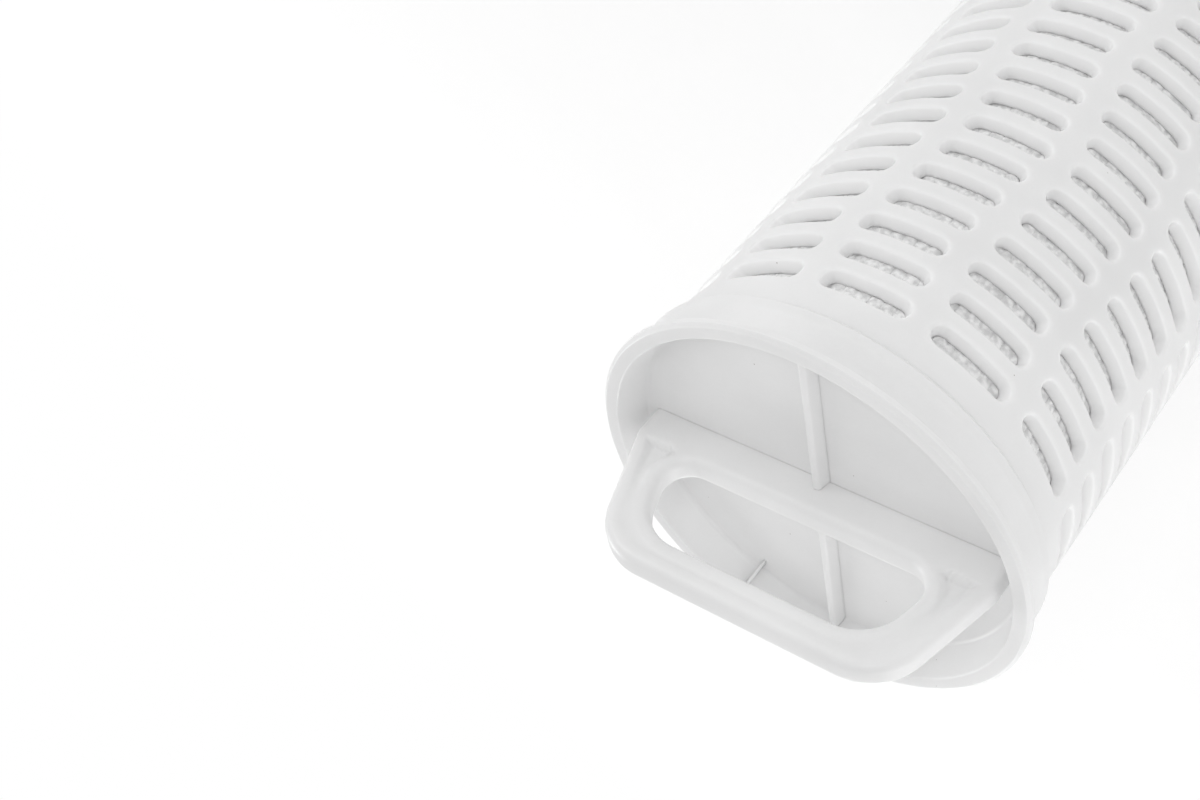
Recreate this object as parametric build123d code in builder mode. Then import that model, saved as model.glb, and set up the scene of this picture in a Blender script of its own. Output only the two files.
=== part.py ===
from build123d import *
import math
import os

os.makedirs("parts", exist_ok=True)

# Driving dimensions in millimetres. Z runs along the body, up to the handle.
# The cartridge stands on its open end, with the origin at the middle of the seal.
BODY_LENGTH = 254.0
GASKET_STAND = 2.0
CAGE_RADIUS = 76.2
CAGE_WALL = 5.0
CAP_SKIRT = 18.0
RIM_RADIUS = 82.2
RIM_THICKNESS = 3.2
RIM_BEVEL = 1.4
DATUM_DROP = 2.5

# Collar behind the rim: a waist that flares out to a band, then eases down to the cage
WAIST_RADIUS = 77.0
COLLAR_RADIUS = 79.3
COLLAR_BAND = 2.6
COLLAR_EASE = 2.2

# Slots in the cage: rows down the body, columns around it
SLOT_COLUMNS = 12
SLOT_ROWS = 14
SLOT_PITCH = 14.2
SLOT_WIDTH = 7.8
SLOT_ARC = 23.6
SLOT_POINT = 3.0
SLOT_DRAFT_ANGLE = 5.0
FIRST_ROW_DROP = 34.2
FIRST_COLUMN_ANGLE = 24.8
ZIGZAG_STEP = 1.25
ZIGZAG_ROWS = 4

# Handle: heights above the datum level, just under the top of the rim, and half widths along X
PLATE_HALF_THICKNESS = 5.2
EDGE_BEVEL = 2.6
HANDLE_HEIGHT = 48.3
HANDLE_FOOT_HALF = 69.6
HANDLE_TOP_HALF = 54.8
HANDLE_CORNER = 22.5
HOLE_LOW = 3.3
HOLE_HIGH = 35.7
HOLE_LOW_HALF = 53.7
HOLE_HIGH_HALF = 43.7
HOLE_LOW_CORNER = 10.0
HOLE_HIGH_CORNER = 18.0

# Groove along the grip and legs, deepest where it starts beside the hole
GROOVE_INSET = 4.9
GROOVE_STARTS = 2.0
GROOVE_LEVELS = 24.0
POCKET_HALF_WEB = 2.9
GROOVE_HALF_WEB = 4.7

# Cup inside the rim
CUP_DEPTH = 13.5
CUP_FLOOR = 4.0
CUP_MOUTH_RADIUS = 76.2
CUP_WALL_RADIUS = 72.8
CUP_CORNER = 3.6
RIB_WIDTH = 3.6
RIB_HEIGHT = 5.0
FIN_ANGLE = 242.6
FIN_REACH = 5.3
FIN_HEIGHT = 9.0
FIN_THICKNESS = 1.2

# Pleated pack, core and open end
PLEATS = 96
PACK_RADIUS = 70.8
PLEAT_DEPTH = 9.0
PLEAT_TIP = 2.4
CORE_RADIUS = 35.0
CORE_WALL = 2.5
WINDOW_ROWS = 3
WINDOW_COLUMNS = 3
WINDOW_WIDTH = 14.0
WINDOW_WEB = 14.0
OUTLET_PLATE = 5.0
OUTLET_BORE_RADIUS = 31.5
GASKET_INNER = 46.0
GASKET_OUTER = 58.0

rim_top = GASKET_STAND + BODY_LENGTH
datum = rim_top - DATUM_DROP
upper_seam = datum - CAP_SKIRT
collar_end = upper_seam + COLLAR_EASE
lower_seam = GASKET_STAND + CAP_SKIRT
cup_floor_top = rim_top - CUP_DEPTH
pack_top = cup_floor_top - CUP_FLOOR
pack_bottom = GASKET_STAND + OUTLET_PLATE
cage_inner = CAGE_RADIUS - CAGE_WALL
handle_foot = cup_floor_top - 0.5
handle_top = datum + HANDLE_HEIGHT

# Outline of the handle plate, with legs that lean in to the grip
with BuildSketch() as plate_outline:
    with BuildLine():
        Polyline(
            (-HANDLE_FOOT_HALF, handle_foot),
            (HANDLE_FOOT_HALF, handle_foot),
            (HANDLE_FOOT_HALF, datum),
            (HANDLE_TOP_HALF, handle_top),
            (-HANDLE_TOP_HALF, handle_top),
            (-HANDLE_FOOT_HALF, datum),
            close=True,
        )
    make_face()
    fillet(plate_outline.vertices().group_by(Axis.Y)[-1], HANDLE_CORNER)

# Finger hole, with wide rounds at the grip and tighter ones at the cup
with BuildSketch() as hole_outline:
    with BuildLine():
        Polyline(
            (-HOLE_LOW_HALF, datum + HOLE_LOW),
            (HOLE_LOW_HALF, datum + HOLE_LOW),
            (HOLE_HIGH_HALF, datum + HOLE_HIGH),
            (-HOLE_HIGH_HALF, datum + HOLE_HIGH),
            close=True,
        )
    make_face()
    fillet(hole_outline.vertices().group_by(Axis.Y)[-1], HOLE_HIGH_CORNER)
    fillet(hole_outline.vertices().group_by(Axis.Y)[0], HOLE_LOW_CORNER)

with BuildSketch() as hole_lip:
    add(hole_outline.sketch)
    offset(amount=GROOVE_INSET)

# The handle is one plate with a hole and bevelled edges
with BuildPart() as handle_plate:
    with BuildSketch(Plane.XZ):
        add(plate_outline.sketch)
        add(hole_outline.sketch, mode=Mode.SUBTRACT)
    extrude(amount=PLATE_HALF_THICKNESS, both=True)
    flat_faces = handle_plate.faces().sort_by(Axis.Y)
    face_edges = flat_faces[0].edges() + flat_faces[-1].edges()
    chamfer(face_edges.filter_by(lambda edge: edge.center().Z > handle_foot + 1), EDGE_BEVEL)

# What the groove takes away: a band between hole and outer edge, shallower towards the grip
with BuildPart() as grip_groove:
    with BuildSketch(Plane.XZ):
        add(plate_outline.sketch)
        offset(amount=-GROOVE_INSET)
        add(hole_lip.sketch, mode=Mode.SUBTRACT)
        with Locations((0, datum + GROOVE_STARTS)):
            Rectangle(4 * RIM_RADIUS, RIM_RADIUS, align=(Align.CENTER, Align.MAX), mode=Mode.SUBTRACT)
    extrude(amount=RIM_RADIUS, both=True)
    with BuildSketch(Plane.YZ):
        with BuildLine():
            deep_end = datum + GROOVE_STARTS
            level_end = deep_end + GROOVE_LEVELS
            Polyline(
                (POCKET_HALF_WEB, deep_end),
                (GROOVE_HALF_WEB, level_end),
                (GROOVE_HALF_WEB, handle_top),
                (RIM_RADIUS, handle_top),
                (RIM_RADIUS, deep_end),
                close=True,
            )
        make_face()
        mirror(about=Plane.YZ)
    extrude(amount=RIM_RADIUS, both=True, mode=Mode.INTERSECT)

# Handle end cap: a turned cup with the plate, two ribs and a small fin standing in it
with BuildPart() as handle_end_cap:
    with BuildSketch(Plane.XZ):
        with BuildLine():
            Polyline(
                (0, pack_top),
                (cage_inner, pack_top),
                (cage_inner, upper_seam),
                (CAGE_RADIUS, upper_seam),
                (COLLAR_RADIUS, collar_end),
                (COLLAR_RADIUS, collar_end + COLLAR_BAND),
                (WAIST_RADIUS, rim_top - RIM_THICKNESS),
                (RIM_RADIUS, rim_top - RIM_THICKNESS),
                (RIM_RADIUS, rim_top - RIM_BEVEL),
                (RIM_RADIUS - RIM_BEVEL, rim_top),
                (CUP_MOUTH_RADIUS, rim_top),
                (CUP_WALL_RADIUS, cup_floor_top + CUP_CORNER),
                (CUP_WALL_RADIUS - CUP_CORNER, cup_floor_top),
                (0, cup_floor_top),
                close=True,
            )
        make_face()
    revolve(axis=Axis.Z)
    add(handle_plate.part)
    add(grip_groove.part, mode=Mode.SUBTRACT)
    rib_reach = CUP_WALL_RADIUS + 0.5
    with Locations((0, 0, cup_floor_top - 0.5)):
        Box(RIB_WIDTH, 2 * rib_reach, RIB_HEIGHT + 0.5, align=(Align.CENTER, Align.CENTER, Align.MIN))
    fin_way = (math.cos(math.radians(FIN_ANGLE)), math.sin(math.radians(FIN_ANGLE)), 0)
    with BuildSketch(Plane((0, 0, 0), x_dir=fin_way, z_dir=(fin_way[1], -fin_way[0], 0))):
        with BuildLine():
            Polyline(
                (CUP_WALL_RADIUS - FIN_REACH, cup_floor_top - 0.5),
                (CUP_WALL_RADIUS + 1, cup_floor_top - 0.5),
                (CUP_WALL_RADIUS + 1, cup_floor_top + FIN_HEIGHT),
                close=True,
            )
        make_face()
    extrude(amount=FIN_THICKNESS / 2, both=True)

handle_end_cap.part.label = "handle_end_cap"
export_step(handle_end_cap.part, "parts/handle_end_cap.step")

# One slot of the cage, a long bar with pointed ends that narrows inwards
with BuildPart() as cage_slot:
    mouth_reach = CAGE_RADIUS + 1
    slot_half = mouth_reach * math.tan(math.radians(SLOT_ARC / 2))
    with BuildSketch(Plane.YZ.offset(mouth_reach)):
        with BuildLine():
            Polyline(
                (slot_half, 0),
                (slot_half - SLOT_POINT, SLOT_WIDTH / 2),
                (SLOT_POINT - slot_half, SLOT_WIDTH / 2),
                (-slot_half, 0),
                (SLOT_POINT - slot_half, -SLOT_WIDTH / 2),
                (slot_half - SLOT_POINT, -SLOT_WIDTH / 2),
                close=True,
            )
        make_face()
    extrude(amount=-(CAGE_WALL + 2), taper=SLOT_DRAFT_ANGLE)

# The rows turn a little at each step, one way and then back, so that the columns zigzag
slot_places = []
for row in range(SLOT_ROWS):
    height = datum - FIRST_ROW_DROP - row * SLOT_PITCH
    steps = (row + ZIGZAG_ROWS // 2) % (2 * ZIGZAG_ROWS)
    turn = ZIGZAG_STEP * (ZIGZAG_ROWS / 2 - abs(steps - ZIGZAG_ROWS))
    for column in range(SLOT_COLUMNS):
        angle = FIRST_COLUMN_ANGLE + turn + 360 / SLOT_COLUMNS * column
        slot_places.append(Location((0, 0, height), (0, 0, angle)))

# Outer cage: a tube, flat sided inside, with the slots through it
with BuildPart() as outer_cage:
    with BuildSketch(Plane.XY.offset(lower_seam)):
        Circle(CAGE_RADIUS)
        RegularPolygon(
            cage_inner,
            SLOT_COLUMNS,
            major_radius=False,
            rotation=FIRST_COLUMN_ANGLE + 180 / SLOT_COLUMNS,
            mode=Mode.SUBTRACT,
        )
    extrude(amount=upper_seam - lower_seam)
    with Locations(*slot_places):
        add(cage_slot.part, mode=Mode.SUBTRACT)

outer_cage.part.label = "outer_cage"
export_step(outer_cage.part, "parts/outer_cage.step")

# Pleated pack: folds side by side all round, with blunt tips just inside the cage
pleat_points = []
for fold in range(PLEATS):
    middle = 360 / PLEATS * fold
    tip_half = math.degrees(PLEAT_TIP / 2 / PACK_RADIUS)
    root = middle + 180 / PLEATS
    for angle, radius in (
        (middle - tip_half, PACK_RADIUS),
        (middle + tip_half, PACK_RADIUS),
        (root, PACK_RADIUS - PLEAT_DEPTH),
    ):
        turned = math.radians(angle)
        pleat_points.append((radius * math.cos(turned), radius * math.sin(turned)))

with BuildPart() as pleat_pack:
    with BuildSketch(Plane.XY.offset(pack_bottom)):
        with BuildLine():
            Polyline(*pleat_points, close=True)
        make_face()
        Circle(CORE_RADIUS, mode=Mode.SUBTRACT)
    extrude(amount=pack_top - pack_bottom)

pleat_pack.part.label = "pleat_pack"
export_step(pleat_pack.part, "parts/pleat_pack.step")

# Inner core: a tube with windows all round
with BuildPart() as inner_core:
    with BuildSketch(Plane.XY.offset(pack_bottom)):
        Circle(CORE_RADIUS)
        Circle(CORE_RADIUS - CORE_WALL, mode=Mode.SUBTRACT)
    extrude(amount=pack_top - pack_bottom)
    window_pitch = (pack_top - pack_bottom) / WINDOW_ROWS
    for row in range(WINDOW_ROWS):
        with Locations((0, 0, pack_bottom + (row + 0.5) * window_pitch)):
            with PolarLocations(CORE_RADIUS, WINDOW_COLUMNS):
                Box(4 * CORE_WALL, WINDOW_WIDTH, window_pitch - WINDOW_WEB, mode=Mode.SUBTRACT)

inner_core.part.label = "inner_core"
export_step(inner_core.part, "parts/inner_core.step")

# Outlet end cap: an open dish around the foot of the cage
with BuildPart() as outlet_end_cap:
    with BuildSketch(Plane.XZ):
        with BuildLine():
            Polyline(
                (OUTLET_BORE_RADIUS, GASKET_STAND),
                (CAGE_RADIUS, GASKET_STAND),
                (CAGE_RADIUS, lower_seam),
                (cage_inner, lower_seam),
                (cage_inner, pack_bottom),
                (OUTLET_BORE_RADIUS, pack_bottom),
                close=True,
            )
        make_face()
    revolve(axis=Axis.Z)

outlet_end_cap.part.label = "outlet_end_cap"
export_step(outlet_end_cap.part, "parts/outlet_end_cap.step")

# End gasket: a flat ring bonded to the outlet cap, which the cartridge seals and stands on
with BuildPart() as end_gasket:
    with BuildSketch():
        Circle(GASKET_OUTER)
        Circle(GASKET_INNER, mode=Mode.SUBTRACT)
    extrude(amount=GASKET_STAND)

end_gasket.part.label = "end_gasket"
export_step(end_gasket.part, "parts/end_gasket.step")
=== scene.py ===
import math

import bpy
import numpy as np
from mathutils import Matrix, Vector, noise


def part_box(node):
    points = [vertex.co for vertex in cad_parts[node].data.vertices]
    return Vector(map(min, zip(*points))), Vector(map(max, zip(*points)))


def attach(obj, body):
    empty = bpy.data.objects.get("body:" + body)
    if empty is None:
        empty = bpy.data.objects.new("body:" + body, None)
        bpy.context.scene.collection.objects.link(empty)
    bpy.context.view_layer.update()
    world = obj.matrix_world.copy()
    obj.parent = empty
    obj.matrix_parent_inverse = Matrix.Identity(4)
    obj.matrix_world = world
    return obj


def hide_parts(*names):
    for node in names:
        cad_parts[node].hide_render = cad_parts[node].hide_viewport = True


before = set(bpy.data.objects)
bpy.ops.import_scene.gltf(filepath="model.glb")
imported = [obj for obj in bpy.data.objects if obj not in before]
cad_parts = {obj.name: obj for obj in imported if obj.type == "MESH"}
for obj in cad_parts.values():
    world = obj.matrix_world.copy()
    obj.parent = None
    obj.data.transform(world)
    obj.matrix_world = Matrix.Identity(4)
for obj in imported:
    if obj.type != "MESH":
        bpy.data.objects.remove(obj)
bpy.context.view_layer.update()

# Sizes are in millimetres and become metres when a mesh is made.
MM = 0.001


def corners_mm(node):
    """The lowest and highest corner of a CAD node's box."""
    return [Vector(corner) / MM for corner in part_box(node)]


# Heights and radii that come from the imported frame
cap_box = corners_mm("handle_end_cap")
cage_box = corners_mm("outer_cage")
pack_box = corners_mm("pleat_pack")
gasket_box = corners_mm("end_gasket")
outlet_box = corners_mm("outlet_end_cap")

RIM_RADIUS = cap_box[1].x
CAGE_RADIUS = cage_box[1].x
CAGE_WALL = 5.0
CAGE_INSIDE = CAGE_RADIUS - CAGE_WALL
UPPER_SEAM = cage_box[1].z
LOWER_SEAM = cage_box[0].z
HANDLE_HEIGHT = 48.3
RIM_MIDDLE = cap_box[1].z - HANDLE_HEIGHT
RIM_TOP = RIM_MIDDLE + 2.5
CUP_FLOOR = RIM_TOP - 13.5

# The cage's slots: sizes at the outside, the lip's roundness and how far the walls lean in
SLOT_COLUMNS = 12
SLOT_ROWS = 14
SLOT_PITCH = 14.2
SLOT_HALF_WIDTH = 3.9
SLOT_HALF_ARC = 11.8
SLOT_LIP = 1.3
SLOT_LIP_BORDER = 1.9
SLOT_DRAFT = 1.1
FIRST_ROW_DROP = 34.2
FIRST_COLUMN_ANGLE = 24.8
ZIGZAG_STEP = 1.25
ZIGZAG_ROWS = 4
SLOT_SIDE_STEPS = 16
SLOT_END_STEPS = 8

# The handle plate
PLATE_HALF = 5.2
EDGE_ROUND = 3.2
FOOT = CUP_FLOOR - 3.6
FOOT_HALF = 69.6
TOP_HALF = 55.3
GRIP_LEAN = 1.8
TOP_CORNER = 22.5
HOLE_LOW = 3.3
HOLE_HIGH = 35.7
HOLE_LOW_HALF = 53.7
HOLE_HIGH_HALF = 43.7
HOLE_LOW_CORNER = 10.0
HOLE_HIGH_CORNER = 18.0
GROOVE_INSET = 4.2
GROOVE_SIDE = 2.6
GROOVE_STARTS = 1.6
GROOVE_STEP = 1.8
GROOVE_LEVELS = 26.0
POCKET_DEPTH = 2.3
VALLEY_DEPTH = 0.35
HANDLE_POINTS = 960
OUTER_EDGE_POINTS = 1000
HOLE_EDGE_POINTS = 900
PAIRING_WINDOW = 70

# The cup, its two ribs and its fin
CUP_BASE = CUP_FLOOR - 4.0
CUP_MOUTH = 76.2
RIM_THICKNESS = 3.2
WAIST = 77.0
COLLAR = 79.3
COLLAR_END = UPPER_SEAM + 2.3
SKIRT = 76.9
RIB_HALF = 1.8
RIB_HEIGHT = 5.0
RIB_LEAN = 0.5
RIB_ROOT = 3.0
RIB_REACH = 73.6
FIN_ANGLE = 242.6
FIN_INNER = 66.9
FIN_OUTER = 75.4
FIN_HALF = 0.6
FIN_BEVEL = 0.15

# The pleated pack
PLEATS = 96
FOLD_DEPTH = 0.7
PACK_RADIUS = 71.3
FOLD_LEAN = 0.10
FOLD_SWELL = 0.4
FOLD_SINK = 0.3
FOLD_STEPS = 14
PACK_LEVELS = 60
PACK_GAP = 0.05
CORE_RADIUS = 35.0

# The open end
OUTLET_BORE = 31.5
SEAL_INNER = 46.0
SEAL_OUTER = 58.0

# The studio: light that the camera sees, and distances in metres
FLOOR_GLOW = 0.15
SURROUND_LIGHT = 0.64
WHITE_STARTS = 0.55
ALL_WHITE = 1.1
LAMP_DISTANCE = 1.5
WIDE_LAMP = 0.9


# Meshes

def piece(name, points, faces, finish, slot, *nodes):
    """A smooth mesh piece that rides on the cartridge and stands for the CAD nodes named."""
    mesh = bpy.data.meshes.new(name)
    mesh.from_pydata([(x * MM, y * MM, z * MM) for x, y, z in points], [], faces)
    mesh.materials.append(finish)
    mesh.validate()
    mesh.shade_smooth()
    obj = bpy.data.objects.new(name, mesh)
    bpy.context.scene.collection.objects.link(obj)
    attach(obj, "root")
    if nodes:
        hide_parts(*nodes)
    return obj


def weld(obj, distance=0.002):
    """Joins the points that neighbouring patches share."""
    modifier = obj.modifiers.new("weld", "WELD")
    modifier.merge_threshold = distance * MM
    depsgraph = bpy.context.evaluated_depsgraph_get()
    welded = bpy.data.meshes.new_from_object(obj.evaluated_get(depsgraph))
    obj.modifiers.clear()
    obj.data = welded
    welded.shade_smooth()


def ring_faces(rings, around, closed=False):
    """Quads between one ring of points and the next."""
    faces = []
    for ring in range(rings if closed else rings - 1):
        here, there = ring * around, (ring + 1) % rings * around
        for step in range(around):
            after = (step + 1) % around
            faces.append((here + step, here + after, there + after, there + step))
    return faces


def rounded(corners, steps=6):
    """An open or closed outline through corners (x, y, radius), each turned into an arc."""
    outline = []
    count = len(corners)
    for index, (x, y, radius) in enumerate(corners):
        corner = Vector((x, y))
        if radius == 0:
            outline.append(corner)
            continue
        back = (Vector(corners[index - 1][:2]) - corner).normalized()
        ahead = (Vector(corners[(index + 1) % count][:2]) - corner).normalized()
        half = back.angle(ahead) / 2
        reach = radius / math.tan(half)
        centre = corner + (back + ahead).normalized() * radius / math.sin(half)
        start = corner + back * reach - centre
        sweep = (corner + ahead * reach - centre).angle_signed(start)
        for step in range(steps + 1):
            outline.append(centre + Matrix.Rotation(sweep * step / steps, 2) @ start)
    return outline


def turned(profile, around, closed):
    """Points and faces of a profile (radius, height) turned about the axis."""
    points = []
    for radius, height in profile:
        for step in range(around):
            angle = 2 * math.pi * step / around
            points.append((radius * math.cos(angle), radius * math.sin(angle), height))
    return points, ring_faces(len(profile), around, closed)


def evenly(outline, count, start):
    """Points at equal distances along a closed outline, from the one nearest to start."""
    corners = np.array([tuple(point) for point in outline])
    first = int(np.argmin(np.linalg.norm(corners - np.array(start), axis=1)))
    corners = np.roll(corners, -first, axis=0)
    loop = np.vstack([corners, corners[:1]])
    travelled = np.concatenate([[0], np.cumsum(np.linalg.norm(np.diff(loop, axis=0), axis=1))])
    wanted = np.linspace(0, travelled[-1], count, endpoint=False)
    return np.column_stack([np.interp(wanted, travelled, loop[:, axis]) for axis in (0, 1)])


def distance_to(outline, spots):
    """How far each spot is from a closed outline."""
    ends = np.roll(outline, -1, axis=0)
    run = ends - outline
    offset = spots[:, None, :] - outline[None]
    along = np.clip((offset * run).sum(-1) / (run * run).sum(-1), 0, 1)
    return np.linalg.norm(offset - along[..., None] * run, axis=-1).min(axis=1)


def smooth(low, high, value):
    """Rises from 0 at low to 1 at high with a soft start and end."""
    part = np.clip((value - low) / (high - low), 0, 1)
    return part * part * (3 - 2 * part)


# Materials

class Wire:
    """A shader value that takes part in Python arithmetic."""

    def __init__(self, finish, socket):
        self.finish = finish
        self.socket = socket

    def math(self, operation, first, second):
        node = self.finish.node("ShaderNodeMath", {"operation": operation}, {0: first, 1: second})
        return node[0]

    def __add__(self, other):
        return self.math("ADD", self, other)

    __radd__ = __add__

    def __sub__(self, other):
        return self.math("SUBTRACT", self, other)

    def __rsub__(self, other):
        return self.math("SUBTRACT", other, self)

    def __mul__(self, other):
        return self.math("MULTIPLY", self, other)

    __rmul__ = __mul__

    def __truediv__(self, other):
        return self.math("DIVIDE", self, other)

    def __rtruediv__(self, other):
        return self.math("DIVIDE", other, self)


class Outputs:
    """The output sockets of a node, by name or place."""

    def __init__(self, finish, node):
        self.finish = finish
        self.shader = node

    def __getitem__(self, key):
        return Wire(self.finish, self.shader.outputs[key])


class Finish:
    """The nodes of a material or of the surround."""

    def __init__(self, owner):
        owner.use_nodes = True
        self.owner = owner
        self.tree = owner.node_tree
        self.tree.nodes.clear()

    def node(self, kind, settings=None, values=None):
        shader = self.tree.nodes.new(kind)
        for key, value in (settings or {}).items():
            setattr(shader, key, value)
        for key, value in (values or {}).items():
            if isinstance(value, Wire):
                self.tree.links.new(value.socket, shader.inputs[key])
            else:
                shader.inputs[key].default_value = value
        return Outputs(self, shader)

    def place(self):
        return self.node("ShaderNodeTexCoord")["Object"]

    def length(self, vector):
        return self.node("ShaderNodeVectorMath", {"operation": "LENGTH"}, {0: vector})["Value"]

    def reach(self):
        """Distance from the cartridge's axis in millimetres."""
        flatten = {0: self.place(), 1: (1, 1, 0)}
        return self.length(self.node("ShaderNodeVectorMath", {"operation": "MULTIPLY"}, flatten)[0]) / MM

    def noise(self, size_mm, detail=2.0, place=None):
        values = {"Vector": place or self.place(), "Scale": 1 / (size_mm * MM), "Detail": detail}
        return self.node("ShaderNodeTexNoise", None, values)["Fac"]

    def cells(self, size_mm, feature="F1", place=None):
        values = {"Vector": place or self.place(), "Scale": 1 / (size_mm * MM)}
        return self.node("ShaderNodeTexVoronoi", {"feature": feature}, values)["Distance"]

    def rise(self, value, low, high, bottom=0.0, top=1.0):
        settings = {"interpolation_type": "SMOOTHSTEP"}
        values = {"Value": value, "From Min": low, "From Max": high, "To Min": bottom, "To Max": top}
        return self.node("ShaderNodeMapRange", settings, values)["Result"]

    def shade(self, mask, dark, light):
        """A colour between two others, each a tuple or the result of another shade."""
        ends = [end if isinstance(end, Wire) else (*end, 1) for end in (dark, light)]
        return self.node("ShaderNodeMix", {"data_type": "RGBA"}, {0: mask, 6: ends[0], 7: ends[1]})[2]

    def relief(self, height, depth_mm):
        values = {"Height": height, "Strength": 1.0, "Distance": depth_mm * MM}
        return self.node("ShaderNodeBump", None, values)["Normal"]

    def surface(self, values):
        shader = self.node("ShaderNodeBsdfPrincipled", None, values)["BSDF"]
        self.node("ShaderNodeOutputMaterial", None, {"Surface": shader})
        return self.owner


def moulded_plastic(name, light, roughness, ripple_mm, soak_mm, painted_wall_light_radius=None):
    """White moulded plastic: cloudy tone, faint flow ripples, fine grain and a few dark specks.

    Light soaks soak_mm into it. Walls that run in from the given radius are painted paler: painted light
    that stands in for light shining through the plastic into the slots.
    """
    finish = Finish(bpy.data.materials.new(name))
    cloud = finish.noise(34, detail=3)
    grain = finish.noise(0.9, detail=2)
    flow = finish.noise(11, detail=2)
    specks = finish.rise(finish.cells(9.0), 0.020, 0.032, 1, 0)
    tone = finish.rise(cloud * 0.8 + grain * 0.2, 0.3, 0.7)
    dark = tuple(channel * 0.955 for channel in light)
    plain = finish.shade(tone, dark, light)
    # Painted light: slot walls below the outer surface are painted near white, standing in for the light
    # that shines through the plastic into the slots
    if painted_wall_light_radius:
        painted_wall_light = finish.rise(finish.reach(), painted_wall_light_radius - 0.7, painted_wall_light_radius - 0.05, 1, 0)
        plain = finish.shade(painted_wall_light, plain, (0.99, 0.99, 0.99))
    return finish.surface({
        "Base Color": finish.shade(specks, plain, (0.42, 0.40, 0.38)),
        "Roughness": finish.rise(cloud + grain * 0.3, 0.3, 1.0, roughness - 0.05, roughness + 0.06),
        "IOR": 1.49,
        "Subsurface Weight": 1.0,
        "Subsurface Radius": (1, 1, 1),
        "Subsurface Scale": soak_mm * MM,
        "Normal": finish.relief(flow * 0.8 + grain * 0.06, ripple_mm),
    })


def netted_medium(name):
    """White nonwoven pressed against its net: blotchy, fibrous and shiny in spots."""
    finish = Finish(bpy.data.materials.new(name))
    place = finish.place()
    blobs = finish.cells(1.7, "SMOOTH_F1", place)
    fibres = finish.noise(0.35, detail=3, place=place)
    patches = finish.noise(5.0, detail=2, place=place)
    mask = finish.rise(blobs + fibres * 0.35, 0.35, 0.95)
    glints = finish.rise(finish.noise(1.1, detail=1, place=place), 0.60, 0.66)
    return finish.surface({
        "Base Color": finish.shade(mask, (0.92, 0.92, 0.92), (0.68, 0.68, 0.68)),
        "Subsurface Weight": 1.0,
        "Subsurface Radius": (1, 1, 1),
        "Subsurface Scale": 0.3 * MM,
        "Roughness": finish.rise(glints + patches * 0.2, 0.2, 1.0, 0.55, 0.22),
        "IOR": 1.49,
        "Normal": finish.relief((1 - mask) + fibres * 0.25, 0.35),
    })


def seal_rubber(name):
    """Pale rubber with a fine dull grain."""
    finish = Finish(bpy.data.materials.new(name))
    grain = finish.noise(0.6, detail=3)
    return finish.surface({
        "Base Color": finish.shade(grain, (0.74, 0.74, 0.73), (0.80, 0.80, 0.79)),
        "Roughness": finish.rise(grain, 0.2, 0.8, 0.55, 0.7),
        "Normal": finish.relief(grain, 0.03),
    })


cap_plastic = moulded_plastic("cap_plastic", (0.89, 0.89, 0.89), 0.36, 0.05, 0.8)
# The cage's slot walls are painted paler from its outer radius inwards: painted light
cage_plastic = moulded_plastic("cage_plastic", (0.89, 0.89, 0.89), 0.34, 0.07, 2.5, CAGE_RADIUS)
core_plastic = moulded_plastic("core_plastic", (0.86, 0.86, 0.86), 0.45, 0.04, 1.0)
pleat_medium = netted_medium("pleat_medium")
rubber = seal_rubber("seal_rubber")


# Cup of the handle end cap: one turned profile from the middle of the floor round to its underside

def make_cup():
    profile = rounded([
        (0.01, CUP_FLOOR, 0),
        (72.8, CUP_FLOOR, 2.0),
        (CUP_MOUTH, RIM_TOP, 0.7),
        (RIM_RADIUS - 1.3, RIM_TOP, 0.5),
        (RIM_RADIUS, RIM_TOP - 1.3, 0.4),
        (RIM_RADIUS, RIM_TOP - RIM_THICKNESS, 0.3),
        (WAIST, RIM_TOP - RIM_THICKNESS, 0.9),
        (WAIST + 0.3, RIM_TOP - 8.0, 9.0),
        (COLLAR + 0.1, COLLAR_END + 3.6, 4.0),
        (COLLAR, COLLAR_END, 0.35),
        (COLLAR - 1.2, COLLAR_END - 0.5, 0.4),
        (SKIRT, UPPER_SEAM, 0.2),
        (CAGE_INSIDE, UPPER_SEAM, 0.3),
        (CAGE_INSIDE, CUP_BASE, 0.3),
        (0.01, CUP_BASE, 0),
    ])
    points, faces = turned(profile, 240, closed=False)
    piece("cup", points, faces, cap_plastic, "cap_plastic", "handle_end_cap")


# Handle plate: rings of points from its outer edge in to the finger hole, on both faces

def leaning(outline):
    """The grip stands a little to one side of the foot."""
    bent = []
    for x, height in outline:
        share = max(height - RIM_MIDDLE, 0) / HANDLE_HEIGHT
        bent.append((x + GRIP_LEAN * share, height))
    return bent


def plate_outlines():
    """The plate's outer edge and the edge of its finger hole."""
    outer = rounded([
        (-FOOT_HALF, FOOT, 0),
        (FOOT_HALF, FOOT, 0),
        (FOOT_HALF, RIM_MIDDLE, 3),
        (TOP_HALF, RIM_MIDDLE + HANDLE_HEIGHT, TOP_CORNER),
        (-TOP_HALF, RIM_MIDDLE + HANDLE_HEIGHT, TOP_CORNER),
        (-FOOT_HALF, RIM_MIDDLE, 3),
    ], steps=24)
    hole = rounded([
        (-HOLE_LOW_HALF, RIM_MIDDLE + HOLE_LOW, HOLE_LOW_CORNER),
        (HOLE_LOW_HALF, RIM_MIDDLE + HOLE_LOW, HOLE_LOW_CORNER),
        (HOLE_HIGH_HALF, RIM_MIDDLE + HOLE_HIGH, HOLE_HIGH_CORNER),
        (-HOLE_HIGH_HALF, RIM_MIDDLE + HOLE_HIGH, HOLE_HIGH_CORNER),
    ], steps=24)
    return leaning(outer), leaning(hole)


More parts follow.
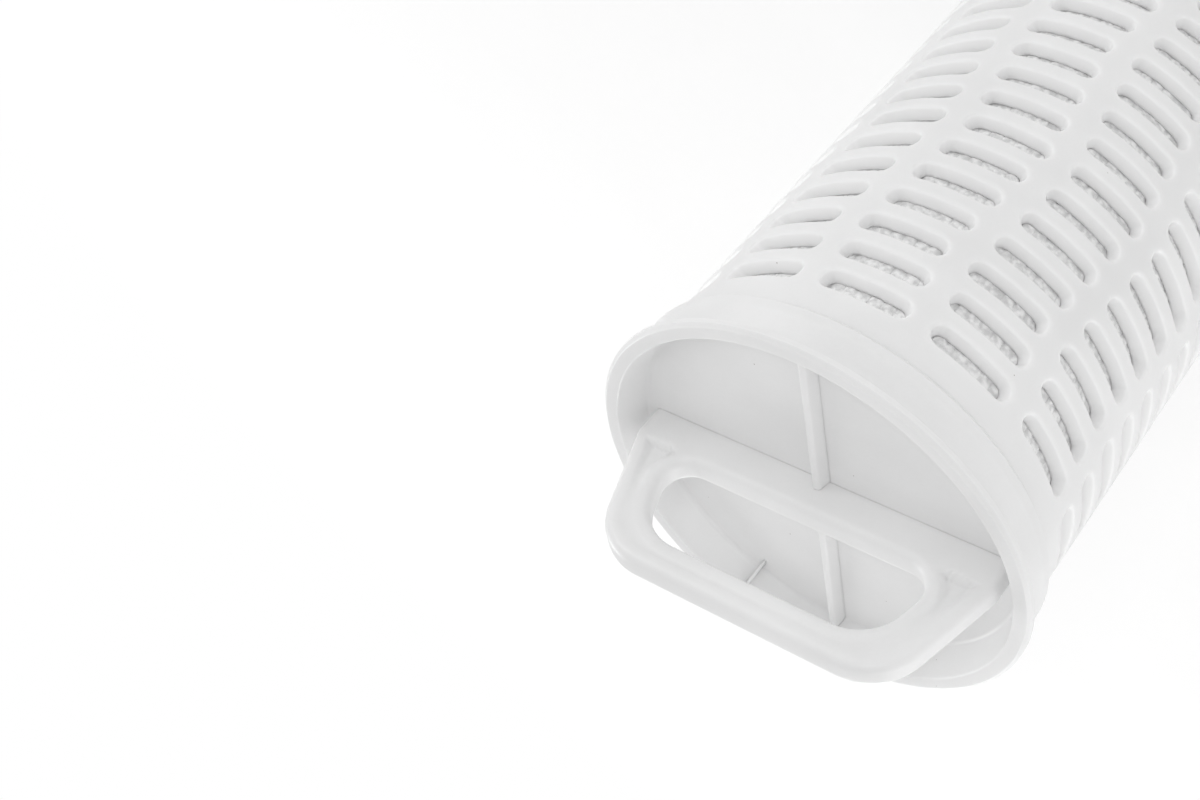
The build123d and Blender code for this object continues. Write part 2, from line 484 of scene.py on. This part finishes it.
def plate_half_thickness(spots, outer, hole):
    """Half the plate's thickness: rounded at both edges, with the groove sunk between them."""
    to_outer = distance_to(outer, spots)
    to_hole = distance_to(hole, spots)
    edge = np.clip(np.minimum(to_outer, to_hole), 0, EDGE_ROUND)
    round_part = np.sqrt(np.clip(EDGE_ROUND**2 - (EDGE_ROUND - edge) ** 2, 0, None))
    half = PLATE_HALF - EDGE_ROUND + round_part
    above = spots[:, 1] - (RIM_MIDDLE + GROOVE_STARTS)
    side = np.minimum(to_outer, to_hole) - GROOVE_INSET
    band = smooth(0, GROOVE_SIDE, side) * smooth(0, GROOVE_STEP, above)
    depth = VALLEY_DEPTH + (POCKET_DEPTH - VALLEY_DEPTH) * (1 - smooth(0, GROOVE_LEVELS, above))
    return half - band * depth


def paired(outer, hole_edge):
    """For each outer point a point of the hole's edge near it, with the pairs spread evenly."""
    nearest = np.linalg.norm(outer[:, None] - hole_edge[None], axis=-1).argmin(axis=1)
    unrolled = np.unwrap(nearest * 2 * math.pi / len(hole_edge))
    window = np.ones(PAIRING_WINDOW + 1) / (PAIRING_WINDOW + 1)
    before = unrolled[-PAIRING_WINDOW:] - 2 * math.pi
    after = unrolled[:PAIRING_WINDOW] + 2 * math.pi
    eased = np.convolve(np.concatenate([before, unrolled, after]), window, mode="same")
    eased = eased[PAIRING_WINDOW:-PAIRING_WINDOW]
    travelled = np.mod(eased / (2 * math.pi), 1) * len(hole_edge)
    loop = np.vstack([hole_edge, hole_edge[:1]])
    steps = np.arange(len(loop))
    return np.column_stack([np.interp(travelled, steps, loop[:, axis]) for axis in (0, 1)])


def make_handle():
    outer_outline, hole_outline = plate_outlines()
    outer = evenly(outer_outline, HANDLE_POINTS, (0, FOOT))
    outer_edge = evenly(outer_outline, OUTER_EDGE_POINTS, (0, FOOT))
    hole_edge = evenly(hole_outline, HOLE_EDGE_POINTS, (0, RIM_MIDDLE + HOLE_LOW))
    hole = paired(outer, hole_edge)
    # Rings stand close together over the rounded edges
    width = np.linalg.norm(hole - outer, axis=1)[:, None]
    close_steps = [0, 0.06, 0.24, 0.55, 1.0, 1.6, 2.3, EDGE_ROUND]
    middle_steps = [0.08, 0.17, 0.27, 0.38, 0.5, 0.62, 0.73, 0.83, 0.92]
    shares = [step / width for step in close_steps]
    shares += [(EDGE_ROUND + part * (width - 2 * EDGE_ROUND)) / width for part in middle_steps]
    shares += [1 - step / width for step in reversed(close_steps)]
    front = []
    for share in shares:
        spots = outer + (hole - outer) * share
        half = plate_half_thickness(spots, outer_edge, hole_edge)
        front.append(np.column_stack([spots[:, 0], half, spots[:, 1]]))
    back = [ring * np.array([1, -1, 1]) for ring in reversed(front)]
    rings = front + back
    points = [tuple(point) for ring in rings for point in ring]
    faces = ring_faces(len(rings), HANDLE_POINTS, closed=True)
    piece("handle", points, faces, cap_plastic, "cap_plastic", "handle_end_cap")


def swept(profile, path):
    """A profile of (sideways, up) pairs carried along a straight floor path of points."""
    points = []
    for x, y, z in path:
        for sideways, up in profile:
            points.append((x + sideways, y, z + up))
    return points, ring_faces(len(path), len(profile))


def make_ribs():
    profile = rounded([
        (-RIB_HALF - RIB_ROOT, -0.4, 0),
        (-RIB_HALF - RIB_LEAN, 0.0, 1.0),
        (-RIB_HALF + RIB_LEAN, RIB_HEIGHT, 1.2),
        (RIB_HALF - RIB_LEAN, RIB_HEIGHT, 1.2),
        (RIB_HALF + RIB_LEAN, 0.0, 1.0),
        (RIB_HALF + RIB_ROOT, -0.4, 0),
    ], steps=5)
    for name, side in (("rib_back", 1), ("rib_front", -1)):
        path = [(0, side * along, CUP_FLOOR) for along in (2.0, 20.0, 40.0, 60.0, RIB_REACH)]
        points, faces = swept(profile, path)
        piece(name, points, faces, cap_plastic, "cap_plastic", "handle_end_cap")


def make_fin():
    angle = math.radians(FIN_ANGLE)
    out = Vector((math.cos(angle), math.sin(angle), 0))
    across = Vector((-out.y, out.x, 0))
    outline = rounded([
        (FIN_INNER, -0.5, 0),
        (FIN_OUTER, -0.5, 0),
        (FIN_OUTER, 10.2, 0),
        (FIN_OUTER - 1.8, 9.4, 0.8),
    ], steps=4)
    sections = ((-FIN_HALF, FIN_BEVEL), (-FIN_HALF + 0.1, 0), (FIN_HALF - 0.1, 0), (FIN_HALF, FIN_BEVEL))
    points = []
    for offset, inset in sections:
        for radius, up in outline:
            spot = out * (radius + inset) + across * offset
            points.append((spot.x, spot.y, CUP_FLOOR + up - inset))
    count = len(outline)
    total = len(points)
    faces = ring_faces(len(sections), count)
    faces += [tuple(range(count)), tuple(range(total - count, total))]
    piece("cup_fin", points, faces, cap_plastic, "cap_plastic", "handle_end_cap")


# Outer cage: every slot is a patch of rings, and the patches meet along the zigzag

def row_turn(row):
    """How far a row is turned about the axis, in degrees: four rows one way and four back."""
    steps = (row + ZIGZAG_ROWS // 2) % (2 * ZIGZAG_ROWS)
    return ZIGZAG_STEP * (ZIGZAG_ROWS / 2 - abs(steps - ZIGZAG_ROWS))


def slot_ring(half_length, half_width):
    """A slot's outline with round ends, its points in step with those of patch_edge."""
    straight = half_length - half_width
    ring = []
    for step in range(SLOT_END_STEPS):
        angle = math.radians(-60 + 120 * step / SLOT_END_STEPS)
        ring.append((straight + half_width * math.cos(angle), half_width * math.sin(angle)))
    corner = straight + half_width * 0.5
    for step in range(SLOT_SIDE_STEPS):
        along = corner - 2 * corner * step / SLOT_SIDE_STEPS
        past = max(abs(along) - straight, 0)
        ring.append((along, math.sqrt(half_width**2 - past**2)))
    return ring + [(-x, -y) for x, y in ring]


def patch_edge():
    """The border of a slot's patch, in shares of its half sizes."""
    ring = []
    for step in range(SLOT_END_STEPS):
        ring.append((1.0, -1 + 2 * step / SLOT_END_STEPS))
    for step in range(SLOT_SIDE_STEPS):
        ring.append((1 - 2 * step / SLOT_SIDE_STEPS, 1.0))
    return ring + [(-x, -y) for x, y in ring]


def on_tube(radius, angles_and_heights):
    """Points on a tube, from pairs of an angle in radians and a height."""
    return [(radius * math.cos(angle), radius * math.sin(angle), z) for angle, z in angles_and_heights]


def row_height(row):
    return RIM_MIDDLE - FIRST_ROW_DROP - row * SLOT_PITCH


def slot_levels():
    """Outlines of a slot from its lip inwards, each with its depth under the cage's surface."""
    levels = [(SLOT_LIP_BORDER, 0.0), (SLOT_LIP, 0.0)]
    for degrees in (22.5, 45.0, 67.5, 90.0):
        bend = math.radians(degrees)
        levels.append((SLOT_LIP * (1 - math.sin(bend)), SLOT_LIP * (1 - math.cos(bend))))
    levels += [(-SLOT_DRAFT * 0.5, 2.9), (-SLOT_DRAFT * 0.9, 4.5), (-SLOT_DRAFT, CAGE_WALL)]
    half_length = CAGE_RADIUS * math.radians(SLOT_HALF_ARC)
    return [(slot_ring(half_length + grow, SLOT_HALF_WIDTH + grow), depth) for grow, depth in levels]


def make_cage():
    edge = patch_edge()
    levels = slot_levels()
    points = []
    faces = []
    for row in range(SLOT_ROWS):
        height = row_height(row)
        turn = row_turn(row)
        above = (row_turn(row - 1) + turn) / 2 if row else turn
        below = (row_turn(row + 1) + turn) / 2 if row < SLOT_ROWS - 1 else turn
        for column in range(SLOT_COLUMNS):
            centre = FIRST_COLUMN_ANGLE + turn + 360 / SLOT_COLUMNS * column
            first = len(points)
            border = []
            for across, up in edge:
                shift = (above - turn) * max(up, 0) + (below - turn) * max(-up, 0)
                angle = math.radians(centre + shift + across * 180 / SLOT_COLUMNS)
                border.append((angle, height + up * SLOT_PITCH / 2))
            points += on_tube(CAGE_RADIUS, border)
            for ring, depth in levels:
                spots = [(math.radians(centre) + along / CAGE_RADIUS, height + up) for along, up in ring]
                points += on_tube(CAGE_RADIUS - depth, spots)
            points += on_tube(CAGE_INSIDE, border)
            patch = ring_faces(len(levels) + 2, len(edge))
            faces += [tuple(first + corner for corner in face) for face in patch]
    # Plain bands at both ends, with small bevels at the seams
    around = SLOT_COLUMNS * SLOT_SIDE_STEPS
    for end, row, seam in ((1, 0, UPPER_SEAM), (-1, SLOT_ROWS - 1, LOWER_SEAM)):
        slot_end = row_height(row) + end * SLOT_PITCH / 2
        start = FIRST_COLUMN_ANGLE + row_turn(row) - 180 / SLOT_COLUMNS
        profile = [
            (CAGE_RADIUS, slot_end),
            (CAGE_RADIUS, (slot_end + seam) / 2),
            (CAGE_RADIUS, seam - end * 0.8),
            (CAGE_RADIUS - 0.12, seam - end * 0.35),
            (CAGE_RADIUS - 0.5, seam),
            (CAGE_INSIDE, seam),
            (CAGE_INSIDE, slot_end),
        ]
        first = len(points)
        angles = [math.radians(start + 360 * step / around) for step in range(around)]
        for radius, z in profile:
            points += on_tube(radius, [(angle, z) for angle in angles])
        band = ring_faces(len(profile), around)
        faces += [tuple(first + corner for corner in face) for face in band]
    weld(piece("slotted_cage", points, faces, cage_plastic, "cage_plastic", "outer_cage"))


# Pleated pack: round folds that touch, and lean and swell a little along their length

def make_pleats():
    top, bottom = pack_box[1].z - PACK_GAP, pack_box[0].z + PACK_GAP
    # Points stand closer where one fold meets the next
    fold = []
    for step in range(FOLD_STEPS):
        bend = math.pi * ((step + 0.5) / FOLD_STEPS - 0.5)
        fold.append((math.sin(bend) / 2, math.cos(bend)))
    points = []
    for level in range(PACK_LEVELS):
        z = bottom + (top - bottom) * level / (PACK_LEVELS - 1)
        for pleat in range(PLEATS):
            spot = Vector((pleat * 7.31, z * 0.035, 3.7))
            lean = FOLD_LEAN * noise.noise(spot)
            swell = FOLD_SWELL * noise.noise(spot * 1.7 + Vector((11, 5, 2))) - FOLD_SINK
            for part, crest in fold:
                angle = 2 * math.pi * (pleat + part + lean * crest) / PLEATS
                radius = PACK_RADIUS + swell * crest - FOLD_DEPTH * (1 - crest)
                points.append((radius * math.cos(angle), radius * math.sin(angle), z))
    around = PLEATS * FOLD_STEPS
    faces = ring_faces(PACK_LEVELS, around)
    piece("pleated_pack", points, faces, pleat_medium, "pleat_medium", "pleat_pack")
    # The flat ends run in to the core, and a bore joins them
    rim = [Vector((x, y)) for x, y, _ in points[:around]]
    bore = [spot.normalized() * CORE_RADIUS for spot in rim]
    ends = []
    for ring, z in ((rim, bottom), (bore, bottom), (bore, top), (rim, top)):
        ends += [(spot.x, spot.y, z) for spot in ring]
    piece("pack_ends", ends, ring_faces(4, around), pleat_medium, "pleat_medium", "pleat_pack")


# Open end: the outlet cap and the flat seal it stands on

def make_outlet():
    outlet_base, pack_base = outlet_box[0].z, pack_box[0].z
    profile = rounded([
        (OUTLET_BORE, outlet_base, 0.6),
        (CAGE_RADIUS, outlet_base, 2.0),
        (CAGE_RADIUS, LOWER_SEAM, 0.5),
        (CAGE_INSIDE, LOWER_SEAM, 0.3),
        (CAGE_INSIDE, pack_base, 0.3),
        (OUTLET_BORE, pack_base, 0.6),
    ])
    points, faces = turned(profile, 240, closed=True)
    piece("outlet_cap", points, faces, cap_plastic, "cap_plastic", "outlet_end_cap")


def make_gasket():
    profile = rounded([
        (SEAL_INNER, gasket_box[0].z, 0.5),
        (SEAL_OUTER, gasket_box[0].z, 0.5),
        (SEAL_OUTER, gasket_box[1].z, 0.1),
        (SEAL_INNER, gasket_box[1].z, 0.1),
    ])
    points, faces = turned(profile, 200, closed=True)
    piece("seal_ring", points, faces, rubber, "seal_rubber", "end_gasket")


make_cup()
make_handle()
make_ribs()
make_fin()
make_cage()
make_pleats()
make_outlet()
make_gasket()
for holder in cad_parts["inner_core"].material_slots:
    holder.material = core_plastic


# Camera at the photograph's view, as the axes of its picture in the cartridge's frame

PICTURE_RIGHT = Vector((0.7863, -0.1699, -0.5940))
PICTURE_UP = Vector((-0.3477, 0.6730, -0.6528))
TOWARDS_CAMERA = Vector((0.5107, 0.7199, 0.4701))
CAMERA_SPOT = Vector((0.2212, 0.4428, 0.5353))

camera_data = bpy.data.cameras.new("camera")
camera_data.lens = 51.03
camera_data.sensor_width = 36
camera_data.clip_start = 0.01
camera = bpy.data.objects.new("camera", camera_data)
axes = Matrix((PICTURE_RIGHT, PICTURE_UP, TOWARDS_CAMERA)).transposed()
camera.matrix_world = Matrix.Translation(CAMERA_SPOT) @ axes.to_4x4()
bpy.context.scene.collection.objects.link(camera)
bpy.context.scene.camera = camera


# Floor: pale, white to the camera, and still darker where the cartridge shades it

def make_floor():
    finish = Finish(bpy.data.materials.new("pale_floor"))
    mottle = finish.noise(60, detail=2)
    board = finish.node("ShaderNodeBsdfDiffuse", None, {
        "Color": finish.shade(mottle, (0.86, 0.86, 0.86), (0.88, 0.88, 0.88)),
    })["BSDF"]
    seen = finish.node("ShaderNodeLightPath")["Is Camera Ray"]
    glow = finish.node("ShaderNodeEmission", None, {"Strength": seen * FLOOR_GLOW})["Emission"]
    near = finish.node("ShaderNodeAddShader", None, {0: board, 1: glow})[0]
    # The camera sees plain white away from the cartridge, and its shadow close by
    away = finish.length(finish.place())
    white = finish.node("ShaderNodeEmission", None, {"Strength": 1.0})["Emission"]
    share = seen * finish.rise(away, WHITE_STARTS, ALL_WHITE)
    both = finish.node("ShaderNodeMixShader", None, {0: share, 1: near, 2: white})[0]
    finish.node("ShaderNodeOutputMaterial", None, {"Surface": both})
    mesh = bpy.data.meshes.new("floor")
    steps = 96
    rings = [0.05, 0.3, 1.0, 3.0, 7.0]
    points = []
    for radius in rings:
        for step in range(steps):
            angle = 2 * math.pi * step / steps
            points.append((radius * math.cos(angle), radius * math.sin(angle), 0))
    mesh.from_pydata(points, [], ring_faces(len(rings), steps) + [tuple(range(steps))])
    mesh.materials.append(finish.owner)
    floor = bpy.data.objects.new("floor", mesh)
    bpy.context.scene.collection.objects.link(floor)


make_floor()


# Light: an even pale surround and large soft lamps

def make_surround():
    finish = Finish(bpy.data.worlds.new("studio"))
    seen = finish.node("ShaderNodeLightPath")["Is Camera Ray"]
    strength = seen * (1 - SURROUND_LIGHT) + SURROUND_LIGHT
    sky = finish.node("ShaderNodeBackground", None, {"Color": (1, 1, 1, 1), "Strength": strength})[0]
    finish.node("ShaderNodeOutputWorld", None, {"Surface": sky})
    bpy.context.scene.world = finish.owner


make_surround()

CUP_MIDDLE = Vector((0, 0, RIM_TOP * MM))


def soft_lamp(name, around, above, power, size=WIDE_LAMP):
    """A square lamp that faces the cup, with its direction in degrees from +X and above the floor."""
    way = Vector((math.cos(math.radians(around)), math.sin(math.radians(around)), 0))
    way = way * math.cos(math.radians(above)) + Vector((0, 0, math.sin(math.radians(above))))
    data = bpy.data.lights.new(name, "AREA")
    data.shape = "SQUARE"
    data.size = size
    data.energy = power
    lamp = bpy.data.objects.new(name, data)
    lamp.location = CUP_MIDDLE + way * LAMP_DISTANCE
    lamp.rotation_euler = way.to_track_quat("Z", "Y").to_euler()
    bpy.context.scene.collection.objects.link(lamp)


soft_lamp("upper_left_lamp", 128, 6, 3.8)
soft_lamp("right_lamp", 0, 10, 2.2)
soft_lamp("lower_right_lamp", 315, 10, 3.6)
soft_lamp("lower_lamp", 270, 10, 4.2)
soft_lamp("handle_lamp", 207, 22, 4.6, size=0.6)
soft_lamp("camera_lamp", 72, 31, 2.2, size=0.22)

bpy.context.scene.view_settings.view_transform = "Standard"
